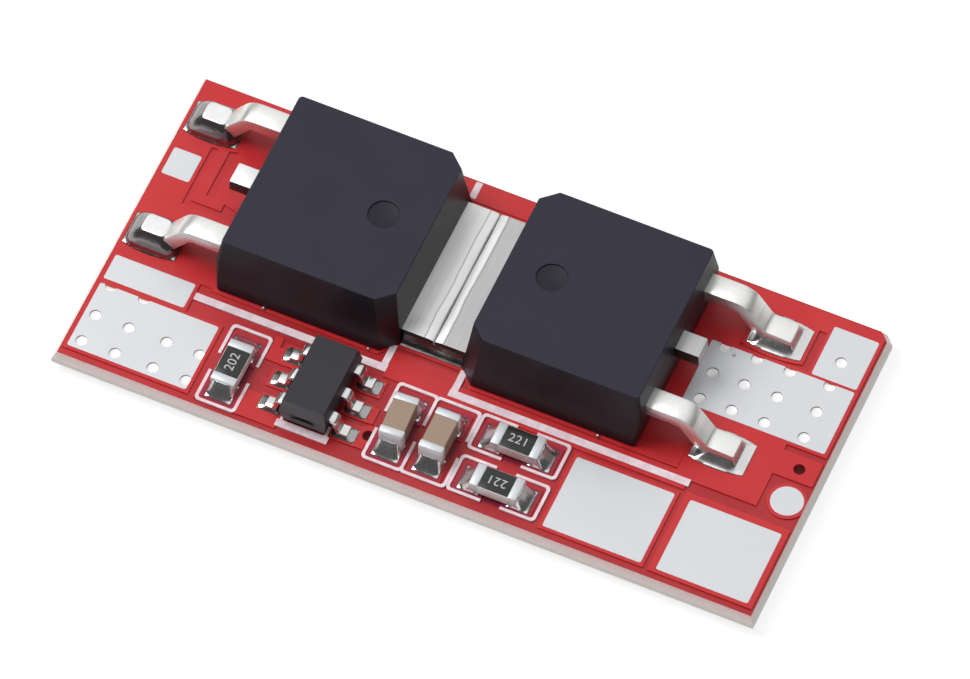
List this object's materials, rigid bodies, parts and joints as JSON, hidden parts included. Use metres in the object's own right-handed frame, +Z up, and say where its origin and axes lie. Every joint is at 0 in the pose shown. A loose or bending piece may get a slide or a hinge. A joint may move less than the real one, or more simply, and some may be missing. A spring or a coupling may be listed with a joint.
{
  "type": "battery management board",
  "caption": "Small red circuit board that guards a battery cell, with power switches tab to tab, a control chip, chip resistors and capacitors, and bare tinned pads for wires or cell strips.",
  "frame": {"origin": "centre of the board's underside, on its resting face", "axes": "+X along the board's length towards the corner pad and round pad, +Y across the board from the row of small parts towards the power switches, +Z up through the mounted parts"},
  "size_m": [0.0236, 0.0114, 0.0032],
  "materials": {
    "laminate": "woven glass fibre laminate, raw at the edges",
    "copper": "bright copper foil",
    "mask": "red solder mask over copper relief",
    "ink": "pinkish white printed ink",
    "tin": "levelled tin, satin",
    "solder": "smooth solder fillets",
    "moulding": "dark epoxy moulding, fine matt texture",
    "silicon": "silicon die",
    "wire": "bond wire",
    "alumina": "white alumina",
    "glaze": "black glass coat",
    "dielectric": "tan fired ceramic",
    "lead_plating": "matt tin-plated copper"
  },
  "bodies": {
    "root": {"circuit_board": "laminate", "copper_top": "copper", "copper_bottom": "copper", "solder_mask_top": "mask", "solder_mask_bottom": "mask", "silkscreen": "ink", "via_barrels": "copper", "via_solder_plugs": "solder", "square_pad": "tin", "narrow_pad": "tin", "left_via_pad": "tin", "right_via_pad": "tin", "corner_pad": "tin", "left_wire_pad": "tin", "right_wire_pad": "tin", "round_pad": "tin", "drain_solder": "solder", "left_switch_body": "moulding", "left_switch_drain_frame": "lead_plating", "left_switch_gate_lead": "lead_plating", "left_switch_source_lead": "lead_plating", "left_switch_die": "silicon", "left_switch_bond_wires": "wire", "left_switch_solder": "solder", "right_switch_body": "moulding", "right_switch_drain_frame": "lead_plating", "right_switch_gate_lead": "lead_plating", "right_switch_source_lead": "lead_plating", "right_switch_die": "silicon", "right_switch_bond_wires": "wire", "right_switch_solder": "solder", "control_chip_body": "moulding", "control_chip_leads": "lead_plating", "control_chip_die": "silicon", "control_chip_solder": "solder", "resistor_1_ceramic": "alumina", "resistor_1_coat": "glaze", "resistor_1_terminals": "tin", "resistor_1_solder": "solder", "resistor_2_ceramic": "alumina", "resistor_2_coat": "glaze", "resistor_2_terminals": "tin", "resistor_2_solder": "solder", "resistor_3_ceramic": "alumina", "resistor_3_coat": "glaze", "resistor_3_terminals": "tin", "resistor_3_solder": "solder", "capacitor_1_ceramic": "dielectric", "capacitor_1_terminals": "tin", "capacitor_1_solder": "solder", "capacitor_2_ceramic": "dielectric", "capacitor_2_terminals": "tin", "capacitor_2_solder": "solder"}
  },
  "joints": []
}
